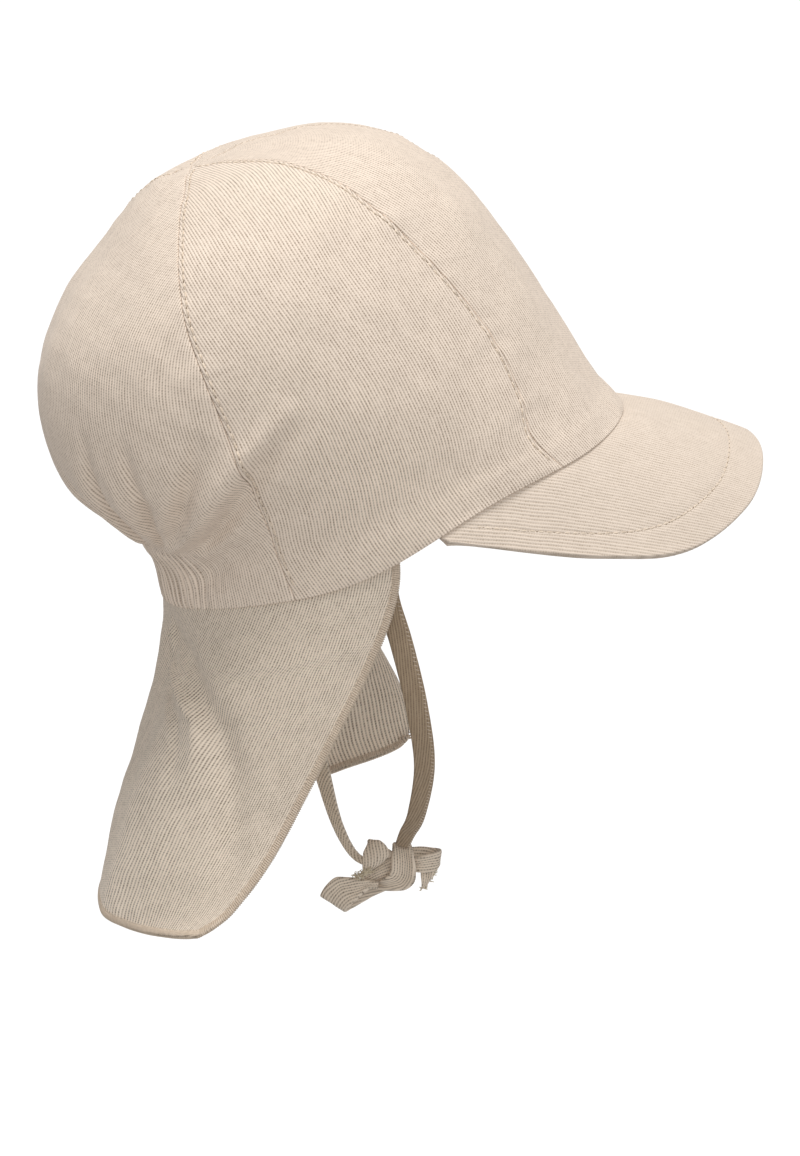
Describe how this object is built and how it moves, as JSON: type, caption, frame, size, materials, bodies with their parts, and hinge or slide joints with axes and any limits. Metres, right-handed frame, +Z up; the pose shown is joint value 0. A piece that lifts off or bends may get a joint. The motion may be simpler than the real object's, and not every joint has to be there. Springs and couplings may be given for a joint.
{
  "type": "legionnaire cap",
  "caption": "Child's cloth sun cap with a panelled crown, a curved peak, a neck flap and thin ties knotted in a half bow under the chin",
  "frame": {"origin": "centre of the head opening", "axes": "+X is the wearer's front, +Y the wearer's left, +Z up; the cap is tilted back 22 degrees, as it is worn"},
  "size_m": [0.2358, 0.1502, 0.2526],
  "materials": {
    "crown_cloth": "ribbed linen weave, matt",
    "peak_cloth": "ribbed linen weave, matt",
    "flap_cloth": "ribbed linen weave, matt",
    "tie_cloth": "ribbed linen weave, matt"
  },
  "bodies": {
    "root": {"front_panel_right": "crown_cloth", "front_panel_left": "crown_cloth", "side_panel_right": "crown_cloth", "side_panel_left": "crown_cloth", "back_panel": "crown_cloth", "peak_top": "peak_cloth", "peak_underside": "peak_cloth", "neck_flap": "flap_cloth", "tie_right": "tie_cloth", "tie_left": "tie_cloth", "tie_knot": "tie_cloth", "bow_loop": "tie_cloth", "tie_end_front": "tie_cloth", "tie_end_back": "tie_cloth"}
  },
  "joints": []
}
